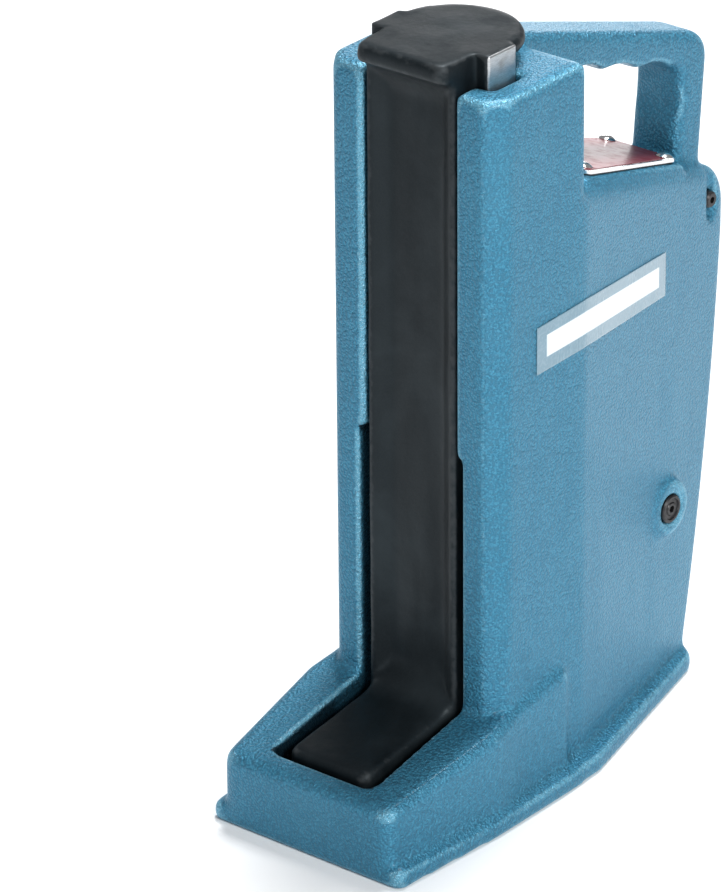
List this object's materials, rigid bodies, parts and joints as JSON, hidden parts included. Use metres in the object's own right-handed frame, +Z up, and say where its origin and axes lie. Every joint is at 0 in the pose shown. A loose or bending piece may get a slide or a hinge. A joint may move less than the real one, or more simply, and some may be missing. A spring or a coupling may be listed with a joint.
{
  "type": "hydraulic toe jack",
  "caption": "Hydraulic toe jack: a cast body with a carrying handle and a sealed reservoir guides a forged claw that lifts on its head or low toe, raised by a built-in lever pump.",
  "frame": {"origin": "on the floor under the middle of the jack's bounding box", "axes": "+Z up along the lift, -Y towards the toe, X across the jack"},
  "size_m": [0.1204, 0.2961, 0.368],
  "materials": {
    "blue_paint": "hammered semi-gloss blue paint over an aluminium casting",
    "side_film": "clear grey adhesive film with a plain white block",
    "black_forging": "semi-gloss black paint on a steel forging",
    "zinc_steel": "zinc plated steel",
    "ground_steel": "ground and hard chromed steel",
    "seal_rubber": "nitrile and polyurethane seals",
    "bronze": "bearing bronze",
    "spring_steel": "oil tempered spring wire",
    "machined_steel": "machined steel",
    "black_oxide": "black oxide steel",
    "cover_steel": "bare stainless sheet",
    "maroon_label": "glossy maroon film",
    "bright_steel": "domed nickel plated screws"
  },
  "bodies": {
    "frame": {"body_casting": "blue_paint", "base_plate": "zinc_steel", "base_screws": "zinc_steel", "ram_tube": "ground_steel", "ram_seal": "seal_rubber", "spring_pin": "zinc_steel", "return_spring": "spring_steel", "guide_strips": "bronze", "pump_block": "machined_steel", "pump_barrel": "machined_steel", "pump_gland": "machined_steel", "plunger_seal": "seal_rubber", "valve_balls": "ground_steel", "delivery_plug": "machined_steel", "suction_filter": "bronze", "relief_valve": "machined_steel", "release_valve_body": "black_oxide", "filler_plug": "black_oxide", "lever_pivot_screws": "black_oxide", "cover_gasket": "seal_rubber", "reservoir_cover": "cover_steel", "cover_label": "maroon_label", "cover_screws": "bright_steel"},
    "claw": {"claw": "black_forging", "gland_bush": "bronze", "wiper_ring": "seal_rubber", "spring_eye": "zinc_steel"},
    "plunger": {"pump_plunger": "ground_steel", "plunger_pin": "zinc_steel"},
    "lever": {"lever_socket": "black_forging"},
    "release_spindle": {"release_spindle": "black_oxide"}
  },
  "joints": [
    {"name": "claw_lift", "type": "slide", "parent": "frame", "child": "claw", "axis": [0, 0, 1], "range_m": [0, 0.13], "deforming": ["return_spring"]},
    {"name": "lever_swing", "type": "hinge", "parent": "frame", "child": "lever", "pos_m": [0, 0.13235, 0.2315], "axis": [1, 0, 0], "range_deg": [-8, 25]},
    {"name": "plunger_stroke", "type": "slide", "parent": "frame", "child": "plunger", "axis": [0, 0, 1], "range_m": [-0.01695, 0.00542]},
    {"name": "release_turn", "type": "hinge", "parent": "frame", "child": "release_spindle", "pos_m": [0.02, 0.08435, 0.0938], "axis": [1, 0, 0], "range_deg": [0, 270]}
  ],
  "couplings": [
    {"joint": "lever_swing", "follows": "plunger_stroke", "rad_per_m": -25.74}
  ]
}
